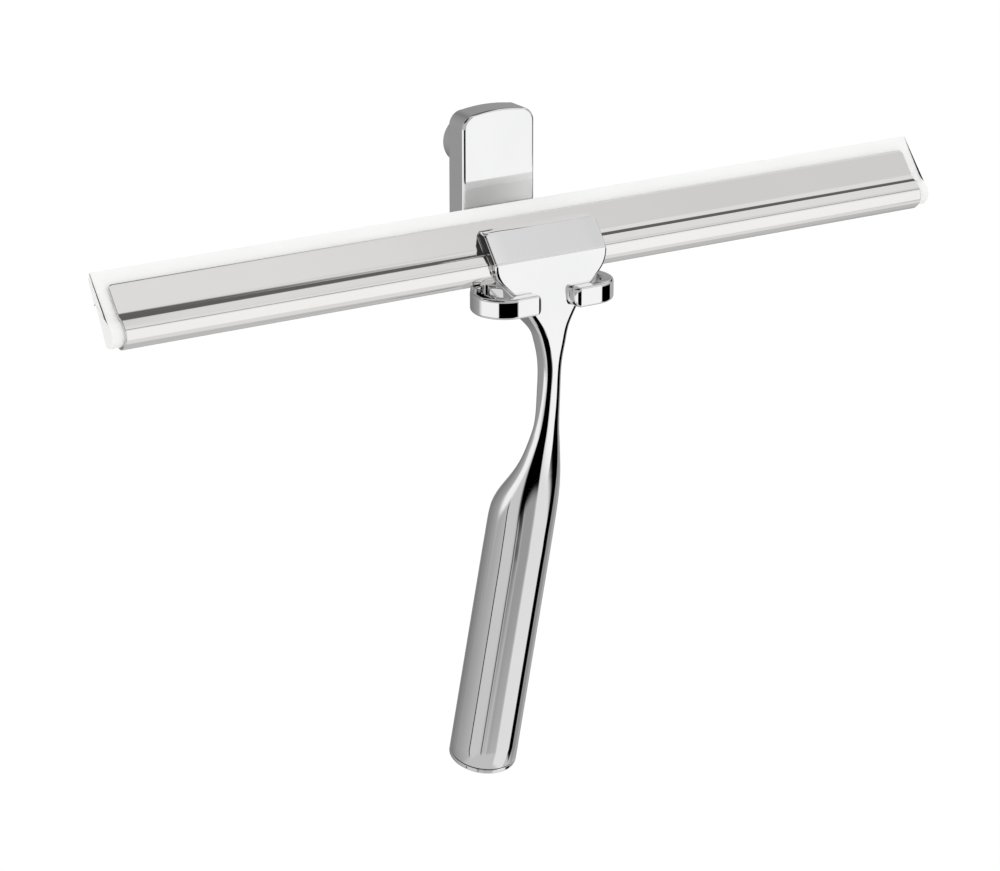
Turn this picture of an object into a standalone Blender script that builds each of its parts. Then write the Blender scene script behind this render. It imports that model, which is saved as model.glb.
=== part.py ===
"""Shower squeegee hanging in its wall holder, at rest.

World frame: metres, +Z up, the wall is the plane Y = 0 and the room is on the -Y side.
The origin is the middle of the mounting disc's back face. X runs along the blade.
"""

import math

import bmesh
import bpy
import numpy as np

# ---- clearances -------------------------------------------------------------------------
GAP = 0.0003
OVERRUN = 0.002

# ---- wall side --------------------------------------------------------------------------
WALL_GAP = 0.01485
BOSS_RADIUS = 0.0092
BOSS_WALL = 0.0028
DISC_THICKNESS = 0.0088
DISC_GROOVE_DEPTH = 0.0012
WALL_HOLE_RADIUS = 0.0022
WALL_SINK_RADIUS = 0.0041
GRUB_RADIUS = 0.0020
BOSS_SCREW_SPREAD = 0.0038
BOSS_SCREW_RADIUS = 0.0013
BOSS_SCREW_HEAD = 0.0023
BOSS_SCREW_LENGTH = 0.0110

# ---- holder casting ---------------------------------------------------------------------
PLATE_WIDTH = 0.0307
PLATE_HEIGHT = 0.0673
PLATE_THICKNESS = 0.0103
PLATE_CORNER = 0.0054
PLATE_ARCH = 0.0008
PLATE_EDGE = 0.0005
BOSS_BELOW_TOP = 0.0164
RING_REACH = 0.0419
RING_WIDTH = 0.0570
RING_CORNER = 0.0117
RING_FLANK = 0.0160
RING_FLANK_TURN = math.radians(35)
MOUTH_WIDTH = 0.0145
ARM_HEIGHT = 0.00755
ARM_THICKNESS = 0.0048
ARM_EDGE = 0.0011

# ---- folded rail and its blade ----------------------------------------------------------
BLADE_LENGTH = 0.350
BLADE_OVERHANG = 0.0046
SHEET = 0.0008
RAIL_LEAN = math.radians(39.3)
RAIL_FLAT = 0.0103
RAIL_SWELL_TURN = math.radians(20)
RAIL_SWELL_IN = 0.0080
RAIL_SWELL_RUN = 0.0020
RAIL_SWELL_OUT = 0.0060
RAIL_NOSE = 0.0052
RAIL_FLOOR = 0.0014
RAIL_HEEL = 0.0033
RAIL_BACK_TURN = math.radians(11)
RAIL_BACK = 0.0135
RAIL_CORNER = 0.0016
LIP_HEIGHT = 0.0061
LIP_TIP = 0.0024
LIP_TIP_SLANT = 0.0013

# ---- handle casting ---------------------------------------------------------------------
HEAD_WIDTH = 0.0478
HEAD_STAND = 0.00445
HEAD_DROP = 0.00675
HEAD_FACET = 0.01285
HEAD_DEPTH = 0.0062
HEAD_EDGE = 0.0010
FLARE_LEAD = 0.0005
FLARE_START = 0.0012
FLARE_SHOULDER = 0.0102
FLARE_TURN = math.radians(41.7)
FLARE_SIDE = 0.0118
FLARE_SWEEP = 0.0385
FOOT_HEIGHT = 0.0112
FOOT_UNDERCUT = 0.0046
GRIP_START_DROP = 0.1140
# Stations of the casting from the flare's foot to the grip. Each is: distance below the head's
# fold, half width, front and back depth from the fold, and the radius of the long edges.
STATIONS = (
    (0.0260, 0.0073, -0.0019, 0.0060, 0.0021),
    (0.0320, 0.0054, -0.0028, 0.0059, 0.0023),
    (0.0380, 0.0041, -0.0027, 0.0056, 0.0024),
    (0.0440, 0.0037, -0.0024, 0.0056, 0.0025),
    (0.0510, 0.0038, -0.0019, 0.0059, 0.0025),
    (0.0580, 0.0042, -0.0012, 0.0061, 0.0028),
    (0.0650, 0.0049, -0.0002, 0.0069, 0.0033),
    (0.0720, 0.0062, 0.0008, 0.0091, 0.0044),
    (0.0790, 0.0078, 0.0020, 0.0122, 0.0060),
    (0.0860, 0.0096, 0.0032, 0.0174, 0.0083),
    (0.0930, 0.0114, 0.0046, 0.0245, 0.0105),
    (0.1000, 0.0125, 0.0060, 0.0304, 0.0124),
    (0.1070, 0.0127, 0.0076, 0.0334, 0.0134),
)
GRIP_SETBACK = 0.0486
GRIP_RADIUS = 0.0131
GRIP_TOP_RADIUS = 0.0127
GRIP_LEAN = math.radians(14.75)
GRIP_WALL = 0.0020
GRIP_BORE = 0.0850
GRIP_BORE_POINT = 0.0060
HANDLE_DROP = 0.2297
CAP_THICKNESS = 0.0019
CAP_SPIGOT = 0.0070
CAP_EDGE = 0.0005

# ---- rear jaw ---------------------------------------------------------------------------
JAW_THICKNESS = 0.0026
JAW_WIDTH = 0.0440
JAW_TONGUE_WIDTH = 0.0330
JAW_BELOW_LIP = 0.0025
JAW_SHELF_DROP = 0.0026
JAW_SCREW_SPREAD = 0.0072
JAW_SCREW_RADIUS = 0.0019
JAW_SCREW_HEAD = 0.0034
JAW_SCREW_HEAD_HEIGHT = 0.0024
JAW_SCREW_LENGTH = 0.0105

# ---- positions that follow from the sizes -----------------------------------------------
PLATE_BACK_Y = -WALL_GAP
PLATE_FRONT_Y = PLATE_BACK_Y - PLATE_THICKNESS
PLATE_TOP_Z = BOSS_BELOW_TOP
PLATE_BOTTOM_Z = PLATE_TOP_Z - PLATE_HEIGHT
ARM_BOTTOM_Z = PLATE_BOTTOM_Z + PLATE_ARCH
ARM_TOP_Z = ARM_BOTTOM_Z + ARM_HEIGHT
RING_FRONT_Y = PLATE_FRONT_Y - RING_REACH
RING_INSIDE_Y = RING_FRONT_Y + ARM_THICKNESS
RAIL_LENGTH = BLADE_LENGTH - 2 * BLADE_OVERHANG
HEAD_HALF = HEAD_WIDTH / 2

for old in list(bpy.data.objects):
    bpy.data.objects.remove(old, do_unlink=True)


# ---- materials --------------------------------------------------------------------------
def material(name, colour, roughness, metallic):
    made = bpy.data.materials.new(name)
    made.use_nodes = True
    shader = made.node_tree.nodes["Principled BSDF"]
    shader.inputs["Base Color"].default_value = (*colour, 1.0)
    shader.inputs["Roughness"].default_value = roughness
    shader.inputs["Metallic"].default_value = metallic
    made.diffuse_color = (*colour, 1.0)
    return made


CHROME = material("chrome_plate", (0.80, 0.80, 0.81), 0.05, 1.0)
STEEL = material("polished_steel", (0.74, 0.73, 0.71), 0.12, 1.0)
SCREW_STEEL = material("screw_steel", (0.55, 0.55, 0.56), 0.30, 1.0)
ZINC = material("raw_zinc", (0.60, 0.61, 0.62), 0.45, 1.0)
SILICONE = material("clear_silicone", (0.90, 0.90, 0.88), 0.35, 0.0)


# ---- solid builders ---------------------------------------------------------------------
def new_object(name, mesh_data, paint, smooth_angle=math.radians(32)):
    mesh = bpy.data.meshes.new(name)
    mesh_data.to_mesh(mesh)
    mesh_data.free()
    mesh.shade_smooth()
    mesh.set_sharp_from_angle(angle=smooth_angle)
    made = bpy.data.objects.new(name, mesh)
    bpy.context.scene.collection.objects.link(made)
    if paint is not None:
        mesh.materials.append(paint)
    return made


def loft(name, rings, paint):
    """A closed solid through rings of equal point counts, with a flat face on each end."""
    data = bmesh.new()
    rows = [[data.verts.new(point) for point in ring] for ring in rings]
    count = len(rows[0])
    for lower, upper in zip(rows, rows[1:]):
        for i in range(count):
            j = (i + 1) % count
            data.faces.new((lower[i], lower[j], upper[j], upper[i]))
    data.faces.new(rows[0])
    data.faces.new(rows[-1])
    bmesh.ops.recalc_face_normals(data, faces=data.faces)
    return new_object(name, data, paint)


def prism_x(name, outline_yz, x_from, x_to, paint):
    """A (y, z) outline pulled along X."""
    rings = [[(x, y, z) for y, z in outline_yz] for x in (x_from, x_to)]
    return loft(name, rings, paint)


def prism_y(name, outline_xz, y_from, y_to, paint):
    """An (x, z) outline pulled along Y."""
    rings = [[(x, y, z) for x, z in outline_xz] for y in (y_from, y_to)]
    return loft(name, rings, paint)


def turned_y(name, profile, paint, sides=48):
    """A profile of (y, radius) pairs turned about the Y axis through the object's origin."""
    angles = [2 * math.pi * k / sides for k in range(sides)]
    rings = [[(r * math.cos(a), y, r * math.sin(a)) for a in angles] for y, r in profile]
    return loft(name, rings, paint)


def cut(target, *cutters):
    for cutter in cutters:
        change = target.modifiers.new("cut_" + cutter.name, "BOOLEAN")
        change.operation = "DIFFERENCE"
        change.solver = "EXACT"
        change.object = cutter
        cutter.hide_render = True
        cutter.display_type = "WIRE"


def join(target, *others):
    for other in others:
        change = target.modifiers.new("join_" + other.name, "BOOLEAN")
        change.operation = "UNION"
        change.solver = "EXACT"
        change.object = other
        other.hide_render = True
        other.display_type = "WIRE"


def arc(centre, radius, start, end, steps):
    """Points on a circle from angle start to angle end, both included."""
    angles = np.linspace(start, end, steps + 1)
    return [(centre[0] + radius * math.cos(a), centre[1] + radius * math.sin(a)) for a in angles]


def rounded_ring(half_u, half_v, radius, per_corner=6):
    """A rounded rectangle centred on zero, anticlockwise, with the same count of points always."""
    round_u = min(radius, half_u * 0.999)
    round_v = min(radius, half_v * 0.999)
    points = []
    for k, (su, sv) in enumerate(((1, 1), (-1, 1), (-1, -1), (1, -1))):
        for c, s in arc((0, 0), 1.0, k * math.pi / 2, (k + 1) * math.pi / 2, per_corner):
            u = su * (half_u - round_u) + round_u * c
            points.append((u, sv * (half_v - round_v) + round_v * s))
    return points


def walk(start, heading, moves, step=math.radians(7.5)):
    """Follows lines ('run', length) and bends ('turn', radius, angle) in a plane.

    Returns the points and the unit normal to the left of the path at each one.
    """
    place = np.array(start, float)
    points = [place.copy()]
    headings = [heading]
    for move in moves:
        if move[0] == "run":
            place = place + move[1] * np.array([math.cos(heading), math.sin(heading)])
            points.append(place.copy())
            headings.append(heading)
            continue
        radius, angle = move[1], move[2]
        side = math.copysign(1.0, angle)
        left = np.array([-math.sin(heading), math.cos(heading)])
        hub = place + side * radius * left
        count = max(2, math.ceil(abs(angle) / step))
        for k in range(1, count + 1):
            turned = heading + angle * k / count
            left = np.array([-math.sin(turned), math.cos(turned)])
            points.append(hub - side * radius * left)
            headings.append(turned)
        heading = heading + angle
        place = points[-1].copy()
    normals = [(-math.sin(h), math.cos(h)) for h in headings]
    return np.array(points), np.array(normals)


# ---- rail section, in the plane of the flat: t up along it, n out from it -----------------
RAIL_MOVES = (
    ("run", RAIL_FLAT),
    ("turn", RAIL_SWELL_IN, RAIL_SWELL_TURN),
    ("run", RAIL_SWELL_RUN),
    ("turn", RAIL_SWELL_OUT, -RAIL_SWELL_TURN),
    ("turn", RAIL_NOSE, -math.radians(90)),
    ("run", RAIL_FLOOR),
    ("turn", RAIL_HEEL, -math.radians(90) - RAIL_BACK_TURN),
    ("run", RAIL_BACK),
)
# The path starts at the front edge and runs down, so t is minus its first coordinate.
RAIL_PATH, RAIL_NORMALS = walk((0.0, 0.0), 0.0, RAIL_MOVES)


def rail_offset(inward):
    """The rail's outer skin moved inward by this much, as (t, n) points."""
    moved = RAIL_PATH - inward * RAIL_NORMALS
    return [(-down, out) for down, out in moved]


def lean(t, n):
    """From the flat's own axes to (y, z), still measured from the rail's front top edge."""
    return (
        t * math.sin(RAIL_LEAN) - n * math.cos(RAIL_LEAN),
        t * math.cos(RAIL_LEAN) + n * math.sin(RAIL_LEAN),
    )


RAIL_SKIN = [lean(*point) for point in rail_offset(-GAP)]
RAIL_LOW = min(z for _, z in RAIL_SKIN)
# The last point but one is where the heel's bend ends and the back wall starts.
HEEL_BACK = max(y for y, _ in RAIL_SKIN[:-1])
FOLD_Y, FOLD_Z = lean(-HEAD_DROP - HEAD_FACET, HEAD_STAND)
TOP_Y, TOP_Z = lean(-HEAD_DROP, HEAD_STAND)

# Where the squeegee hangs: the flare's front just clears the ring, the jaw sits on the arms.
JAW_SHELF = RAIL_LOW - JAW_SHELF_DROP
SHIFT_Y = RING_INSIDE_Y + GAP + FLARE_LEAD - FOLD_Y
SHIFT_Z = ARM_TOP_Z + GAP - JAW_SHELF


def placed(point):
    return (point[0] + SHIFT_Y, point[1] + SHIFT_Z)


def hung(outline):
    return [placed(point) for point in outline]


# ---- rail ---------------------------------------------------------------------------------
outer = rail_offset(0.0)
inner = rail_offset(SHEET)
rail = prism_x(
    "rail",
    hung([lean(*p) for p in outer + inner[::-1]]),
    -RAIL_LENGTH / 2,
    RAIL_LENGTH / 2,
    STEEL,
)
for side in (-1, 1):
    # A quarter round taken off each upper corner of the front wall.
    middle = (RAIL_LENGTH / 2 - RAIL_CORNER, -RAIL_CORNER)
    edge = arc(middle, RAIL_CORNER, 0, math.pi / 2, 6)
    edge += [(middle[0], OVERRUN), (RAIL_LENGTH / 2 + OVERRUN, OVERRUN)]
    edge += [(RAIL_LENGTH / 2 + OVERRUN, middle[1])]
    rings = []
    for n in (-SHEET - OVERRUN / 2, OVERRUN / 2):
        rings.append([(side * x, *placed(lean(t, n))) for x, t in edge])
    cut(rail, loft(f"corner_cut_{'l' if side < 0 else 'r'}", rings, None))

# ---- blade --------------------------------------------------------------------------------
inside = rail_offset(SHEET + GAP)
back_top_t, back_top_n = inside[-1]
shoulder_n = outer[-1][1]
front_n = inside[0][1]
blade_outline = [
    (LIP_HEIGHT, front_n + 0.0002),
    *inside,
    (outer[-1][0] + GAP, back_top_n),
    (outer[-1][0] + GAP, shoulder_n),
    (outer[-1][0] + 0.0013, shoulder_n),
    (LIP_HEIGHT - LIP_TIP_SLANT, front_n - LIP_TIP),
]
blade_yz = hung([lean(*p) for p in blade_outline])
blade = prism_x("blade", blade_yz, -BLADE_LENGTH / 2, BLADE_LENGTH / 2, SILICONE)

# ---- handle casting: stations down the casting -----------------------------------------
FOOT_TOP = RAIL_LOW
FOOT_BOTTOM = FOOT_TOP - FOOT_HEIGHT
FOOT_BACK = HEEL_BACK - GAP
FLARE_FRONT = FOLD_Y - FLARE_LEAD
FOOT_DROP = FOLD_Z - FOOT_BOTTOM
AXIS_END_Z = TOP_Z - HANDLE_DROP + GRIP_RADIUS * math.sin(GRIP_LEAN) + GRIP_RADIUS / 5
AXIS_END_Y = FOLD_Y + GRIP_SETBACK


def grip_axis_y(z):
    return AXIS_END_Y - (z - AXIS_END_Z) * math.tan(GRIP_LEAN)


def ease(knots, at):
    """A smooth curve through rising (place, value) knots that doesn't swing past any of them."""
    places, values = np.array(knots, float).T
    slopes = np.diff(values) / np.diff(places)
    tangents = np.concatenate((slopes[:1], (slopes[:-1] + slopes[1:]) / 2, slopes[-1:]))
    tangents[1:-1][slopes[:-1] * slopes[1:] <= 0] = 0.0
    k = int(np.clip(np.searchsorted(places, at) - 1, 0, len(slopes) - 1))
    gap = places[k + 1] - places[k]
    t = min(max((at - places[k]) / gap, 0.0), 1.0)
    rise = values[k + 1] - values[k]
    start = tangents[k] * gap
    end = tangents[k + 1] * gap
    return values[k] + t * (start + t * (3 * rise - 2 * start - end + t * (start + end - 2 * rise)))


# The flare's side: straight down the head, round the shoulder, in, and swept into the neck.
SIDE_PATH, _ = walk(
    (0.0, HEAD_HALF),
    0.0,
    (
        ("run", FLARE_START),
        ("turn", FLARE_SHOULDER, -FLARE_TURN),
        ("run", FLARE_SIDE),
        ("turn", FLARE_SWEEP, FLARE_TURN),
    ),
    math.radians(2),
)


def half_width(drop):
    """Half width of the head, flare, neck and shoulder of the grip, this far below the fold."""
    if drop < STATIONS[2][0]:
        return float(np.interp(drop, SIDE_PATH[:, 0], SIDE_PATH[:, 1]))
    return ease([(row[0], row[1]) for row in STATIONS[2:]], drop)


def horizontal(z, front, back, half, radius):
    """A level section between two depths."""
    half_depth = (back - front) / 2
    middle = (back + front) / 2
    ring = rounded_ring(half, half_depth, radius)
    return [(x, *placed((middle + v, z))) for x, v in ring]


def tilted(centre, angle, half, half_depth, radius):
    """A section square to a line that leans toward the wall, going down, by this angle."""
    ring = rounded_ring(half, half_depth, radius)
    made = []
    for x, v in ring:
        y = centre[0] + v * math.cos(angle)
        z = centre[1] + v * math.sin(angle)
        made.append((x, *placed((y, z))))
    return made


sections = []
facet_slope = (FOLD_Y - TOP_Y) / (FOLD_Z - TOP_Z)
# The top edge starts as a blunt wedge on the rail and reaches its full width over the edge round.
for share in (0.2, 0.5, 1.0, 1.8):
    drop = HEAD_EDGE * share
    z = TOP_Z - drop
    front = TOP_Y - drop * facet_slope
    back = TOP_Y + drop / math.tan(RAIL_LEAN)
    trim = HEAD_EDGE * max(0.0, 1 - share) ** 2 * 1.4
    sections.append(horizontal(z, front, back, HEAD_HALF - trim, HEAD_EDGE))
for share in (0.35, 0.5, 0.65, 0.8, 0.92, 0.97, 1.0):
    z = TOP_Z + (FOLD_Z - TOP_Z) * share
    front = TOP_Y + (FOLD_Y - TOP_Y) * share
    sections.append(horizontal(z, front, front + HEAD_DEPTH, HEAD_HALF, HEAD_EDGE))
grip_half_depth = GRIP_TOP_RADIUS / math.cos(GRIP_LEAN)
grip_front = grip_axis_y(FOLD_Z - GRIP_START_DROP) - grip_half_depth - FOLD_Y
grip_back = grip_front + 2 * grip_half_depth
FRONT_LINE = (
    (0.0, 0.0),
    (3 * HEAD_EDGE, -FLARE_LEAD * 0.6),
    (8 * HEAD_EDGE, -FLARE_LEAD),
    (FOOT_DROP, -FLARE_LEAD),
    *((row[0], row[2]) for row in STATIONS),
    (GRIP_START_DROP, grip_front),
)
BACK_LINE = (
    (0.0, HEAD_DEPTH),
    (FOLD_Z - FOOT_TOP - 3 * HEAD_EDGE, FOOT_BACK - FOLD_Y),
    (FOOT_DROP, FOOT_BACK - FOLD_Y),
    (FOOT_DROP + FOOT_UNDERCUT / 3, FOOT_BACK - FOLD_Y - FOOT_UNDERCUT / 2),
    (FOOT_DROP + FOOT_UNDERCUT * 0.76, FOOT_BACK - FOLD_Y - FOOT_UNDERCUT),
    *((row[0], row[3]) for row in STATIONS),
    (GRIP_START_DROP, grip_back),
)
ROUND_LINE = (
    (0.0, HEAD_EDGE),
    (STATIONS[0][0] / 2, HEAD_EDGE * 1.2),
    *((row[0], row[4]) for row in STATIONS),
)
foot_drops = np.linspace(0.0, FOOT_DROP, 14)[1:]
neck_drops = np.linspace(FOOT_DROP, GRIP_START_DROP, 46)[1:]
for drop in (*foot_drops, *neck_drops):
    front = FOLD_Y + ease(FRONT_LINE, drop)
    back = FOLD_Y + ease(BACK_LINE, drop)
    radius = ease(ROUND_LINE, drop)
    sections.append(horizontal(FOLD_Z - drop, front, back, half_width(drop), radius))
end_z = AXIS_END_Z + (CAP_THICKNESS + GAP) * math.cos(GRIP_LEAN)
sections.append(
    tilted((grip_axis_y(end_z), end_z), GRIP_LEAN, GRIP_RADIUS, GRIP_RADIUS, GRIP_RADIUS)
)
handle = loft("handle", sections, CHROME)

# The pocket follows the rail's skin and opens upward, well clear of the casting.
step_up = lean(HEAD_WIDTH / 2, GAP)
pocket = [*RAIL_SKIN, (RAIL_SKIN[-1][0] + HEAD_WIDTH / 4, step_up[1]), step_up]
pocket_half = HEAD_HALF + OVERRUN
cut(handle, prism_x("rail_pocket", hung(pocket), -pocket_half, pocket_half, None))
axis_down = np.array([0.0, math.sin(GRIP_LEAN), -math.cos(GRIP_LEAN)])
end_centre = np.array([0.0, *placed((AXIS_END_Y, AXIS_END_Z))])


def along_grip(name, profile, paint, sides=64):
    """A profile of (distance up from the grip's end, radius) pairs turned about the grip's axis."""
    across = np.array([0.0, math.cos(GRIP_LEAN), math.sin(GRIP_LEAN)])
    rings = []
    for up, radius in profile:
        hub = end_centre - axis_down * up
        ring = []
        for k in range(sides):
            a = 2 * math.pi * k / sides
            offset = np.array([1.0, 0.0, 0.0]) * math.cos(a) + across * math.sin(a)
            ring.append(tuple(hub + radius * offset))
        rings.append(ring)
    return loft(name, rings, paint)


bore_radius = GRIP_RADIUS - GRIP_WALL
bore = along_grip(
    "grip_bore",
    ((0, bore_radius), (GRIP_BORE, bore_radius), (GRIP_BORE + GRIP_BORE_POINT, bore_radius / 2)),
    None,
    40,
)
cut(handle, bore)
end_cap = along_grip(
    "end_cap",
    (
        (0, GRIP_RADIUS - CAP_EDGE),
        (CAP_EDGE, GRIP_RADIUS),
        (CAP_THICKNESS, GRIP_RADIUS),
        (CAP_THICKNESS, bore_radius - GAP),
        (CAP_THICKNESS + CAP_SPIGOT, bore_radius - GAP),
    ),
    CHROME,
)

# ---- rear jaw and its two screws -----------------------------------------------------------
back_low = RAIL_SKIN[-2]
back_high = RAIL_SKIN[-1]
wall_run = np.subtract(back_high, back_low)
wall_run = wall_run / np.linalg.norm(wall_run)
jaw_in_top = np.array(back_high) - wall_run * JAW_BELOW_LIP
jaw_face = HEEL_BACK
jaw_in_low = np.array(back_low) + wall_run * (jaw_face - back_low[0]) / wall_run[0]
jaw_out = np.array([wall_run[1], -wall_run[0]]) * JAW_THICKNESS
out_low = jaw_in_low + jaw_out
out_low = out_low + wall_run * (jaw_face + JAW_THICKNESS - out_low[0]) / wall_run[0]
jaw_outline = [
    tuple(jaw_in_top),
    tuple(jaw_in_low),
    (jaw_face, JAW_SHELF),
    (jaw_face + JAW_THICKNESS, JAW_SHELF),
    tuple(out_low),
    tuple(jaw_in_top + jaw_out),
]
back_jaw = prism_x("back_jaw", hung(jaw_outline), -JAW_WIDTH / 2, JAW_WIDTH / 2, CHROME)
tongue = [
    (jaw_face, JAW_SHELF + OVERRUN),
    (jaw_face, FOOT_BOTTOM),
    (jaw_face + JAW_THICKNESS, FOOT_BOTTOM),
    (jaw_face + JAW_THICKNESS, JAW_SHELF + OVERRUN),
]
join(
    back_jaw,
    prism_x("jaw_tongue", hung(tongue), -JAW_TONGUE_WIDTH / 2, JAW_TONGUE_WIDTH / 2, None),
)
jaw_back_y = jaw_face + JAW_THICKNESS + SHIFT_Y
screw_z = (JAW_SHELF + FOOT_BOTTOM) / 2 + SHIFT_Z


def screw_y(name, place, facing, shape, key, paint, sides=32):
    """A screw on a Y axis. Facing is -1 when its head looks at the room, +1 at the wall.

    Shape holds (distance back from the head's top, radius) pairs, and key the recess size.
    """
    made = turned_y(name, [(-facing * y, r) for y, r in shape], paint, sides)
    made.location = place
    recess_shape = [(facing * OVERRUN, key), (-facing * key * 0.9, key)]
    recess = turned_y(name + "_key", recess_shape, None, 6)
    recess.location = place
    cut(made, recess)
    return made


def screw_hole(name, place, facing, shape, sides=32):
    made = turned_y(name, [(-facing * y, r + GAP) for y, r in shape], None, sides)
    made.location = place
    return made


for side, tag in ((-1, "l"), (1, "r")):
    head_top = (side * JAW_SCREW_SPREAD, jaw_back_y + GAP + JAW_SCREW_HEAD_HEIGHT, screw_z)
    shape = (
        (0, JAW_SCREW_HEAD * 0.8),
        (JAW_SCREW_HEAD_HEIGHT * 0.35, JAW_SCREW_HEAD),
        (JAW_SCREW_HEAD_HEIGHT, JAW_SCREW_HEAD),
        (JAW_SCREW_HEAD_HEIGHT, JAW_SCREW_RADIUS),
        (JAW_SCREW_LENGTH, JAW_SCREW_RADIUS),
        (JAW_SCREW_LENGTH + 0.0006, JAW_SCREW_RADIUS * 0.6),
    )
    screw_y(f"jaw_screw_{tag}", head_top, 1, shape, JAW_SCREW_HEAD * 0.42, SCREW_STEEL)
    drill = ((-OVERRUN, JAW_SCREW_RADIUS), (JAW_SCREW_LENGTH + 0.0010, JAW_SCREW_RADIUS))
    cut(back_jaw, screw_hole(f"jaw_drill_{tag}", head_top, 1, drill))
    cut(handle, screw_hole(f"foot_drill_{tag}", head_top, 1, drill))

# ---- holder casting --------------------------------------------------------------------------
def plate_outline(inset):
    """The plate's face, both ends slightly arched, corners rounded."""
    half = PLATE_WIDTH / 2 - inset
    radius = PLATE_CORNER - inset
    top = PLATE_TOP_Z - inset - PLATE_ARCH
    bottom = PLATE_BOTTOM_Z + inset + PLATE_ARCH
    flat = half - radius
    points = arc((flat, top - radius), radius, 0, math.pi / 2, 7)
    rise = [(x, PLATE_ARCH * (1 - (x / flat) ** 2)) for x in np.linspace(flat, -flat, 9)[1:-1]]
    points += [(x, top + arch) for x, arch in rise]
    points += arc((-flat, top - radius), radius, math.pi / 2, math.pi, 7)
    points += arc((-flat, bottom + radius), radius, math.pi, 1.5 * math.pi, 7)
    points += [(x, bottom - arch) for x, arch in rise[::-1]]
    points += arc((flat, bottom + radius), radius, 1.5 * math.pi, 2 * math.pi, 7)
    return points


rings = []
for y, inset in (
    (PLATE_BACK_Y, PLATE_EDGE),
    (PLATE_BACK_Y - PLATE_EDGE * 0.3, PLATE_EDGE * 0.3),
    (PLATE_BACK_Y - PLATE_EDGE, 0),
    (PLATE_FRONT_Y + PLATE_EDGE, 0),
    (PLATE_FRONT_Y + PLATE_EDGE * 0.3, PLATE_EDGE * 0.3),
    (PLATE_FRONT_Y, PLATE_EDGE),
):
    rings.append([(x, y, z) for x, z in plate_outline(inset)])
holder_body = loft("holder_body", rings, CHROME)

arm_middle = ARM_THICKNESS / 2
flank_x = RING_WIDTH / 2 - RING_FLANK * (1 - math.cos(RING_FLANK_TURN))
flank_y = RING_FRONT_Y + RING_CORNER + RING_FLANK * math.sin(RING_FLANK_TURN)
strut = (PLATE_FRONT_Y - flank_y) / math.cos(RING_FLANK_TURN) + PLATE_THICKNESS * 0.4
moves = (
    ("run", RING_WIDTH / 2 - RING_CORNER - MOUTH_WIDTH / 2),
    ("turn", RING_CORNER - arm_middle, math.radians(90)),
    ("turn", RING_FLANK - arm_middle, RING_FLANK_TURN),
    ("run", strut),
)
arm_path, arm_normals = walk((MOUTH_WIDTH / 2, RING_FRONT_Y + arm_middle), 0.0, moves)
arm_z = (ARM_TOP_Z + ARM_BOTTOM_Z) / 2
arm_section = rounded_ring(ARM_THICKNESS / 2, ARM_HEIGHT / 2, ARM_EDGE, 3)
for side, tag in ((-1, "l"), (1, "r")):
    rings = []
    first = arm_path[0]
    for inset, grow in ((0.0, ARM_EDGE), (ARM_EDGE * 0.35, ARM_EDGE * 0.35), (ARM_EDGE, 0.0)):
        ring = rounded_ring(ARM_THICKNESS / 2 - grow, ARM_HEIGHT / 2 - grow, ARM_EDGE, 3)
        rings.append([(side * (first[0] + inset), first[1] - u, arm_z + v) for u, v in ring])
    for place, normal in zip(arm_path[1:], arm_normals[1:]):
        centre = np.array([side * place[0], place[1]])
        out = -np.array([side * normal[0], normal[1]])
        rings.append([(*(centre + u * out), arm_z + v) for u, v in arm_section])
    join(holder_body, loft(f"arm_{tag}", rings, None))

# ---- standoff, mounting disc and their screws --------------------------------------------------
bore_r = BOSS_RADIUS - BOSS_WALL
disc_r = bore_r - GAP
boss_back = -GAP
boss_front = PLATE_BACK_Y + GAP
head_depth = BOSS_SCREW_HEAD * 0.75
floor_y = -DISC_THICKNESS - GAP
standoff = turned_y(
    "standoff",
    (
        (boss_back, BOSS_RADIUS - PLATE_EDGE),
        (boss_back - PLATE_EDGE, BOSS_RADIUS),
        (boss_front + PLATE_EDGE, BOSS_RADIUS),
        (boss_front, BOSS_RADIUS - PLATE_EDGE),
    ),
    CHROME,
    64,
)
cut(standoff, turned_y("boss_bore", ((OVERRUN, bore_r), (floor_y, bore_r)), None, 48))

mount_disc = turned_y(
    "mount_disc",
    (
        (0, disc_r),
        (-DISC_THICKNESS / 2 + GRUB_RADIUS + DISC_GROOVE_DEPTH, disc_r),
        (-DISC_THICKNESS / 2 + GRUB_RADIUS, disc_r - DISC_GROOVE_DEPTH),
        (-DISC_THICKNESS / 2 - GRUB_RADIUS, disc_r - DISC_GROOVE_DEPTH),
        (-DISC_THICKNESS / 2 - GRUB_RADIUS - DISC_GROOVE_DEPTH, disc_r),
        (-DISC_THICKNESS, disc_r),
    ),
    ZINC,
    48,
)
sink_depth = WALL_SINK_RADIUS - WALL_HOLE_RADIUS
wall_hole = turned_y(
    "wall_hole",
    (
        (OVERRUN, WALL_HOLE_RADIUS),
        (-DISC_THICKNESS + sink_depth, WALL_HOLE_RADIUS),
        (-DISC_THICKNESS, WALL_SINK_RADIUS),
        (-DISC_THICKNESS - OVERRUN, WALL_SINK_RADIUS),
    ),
    None,
    32,
)
cut(mount_disc, wall_hole)

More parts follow.
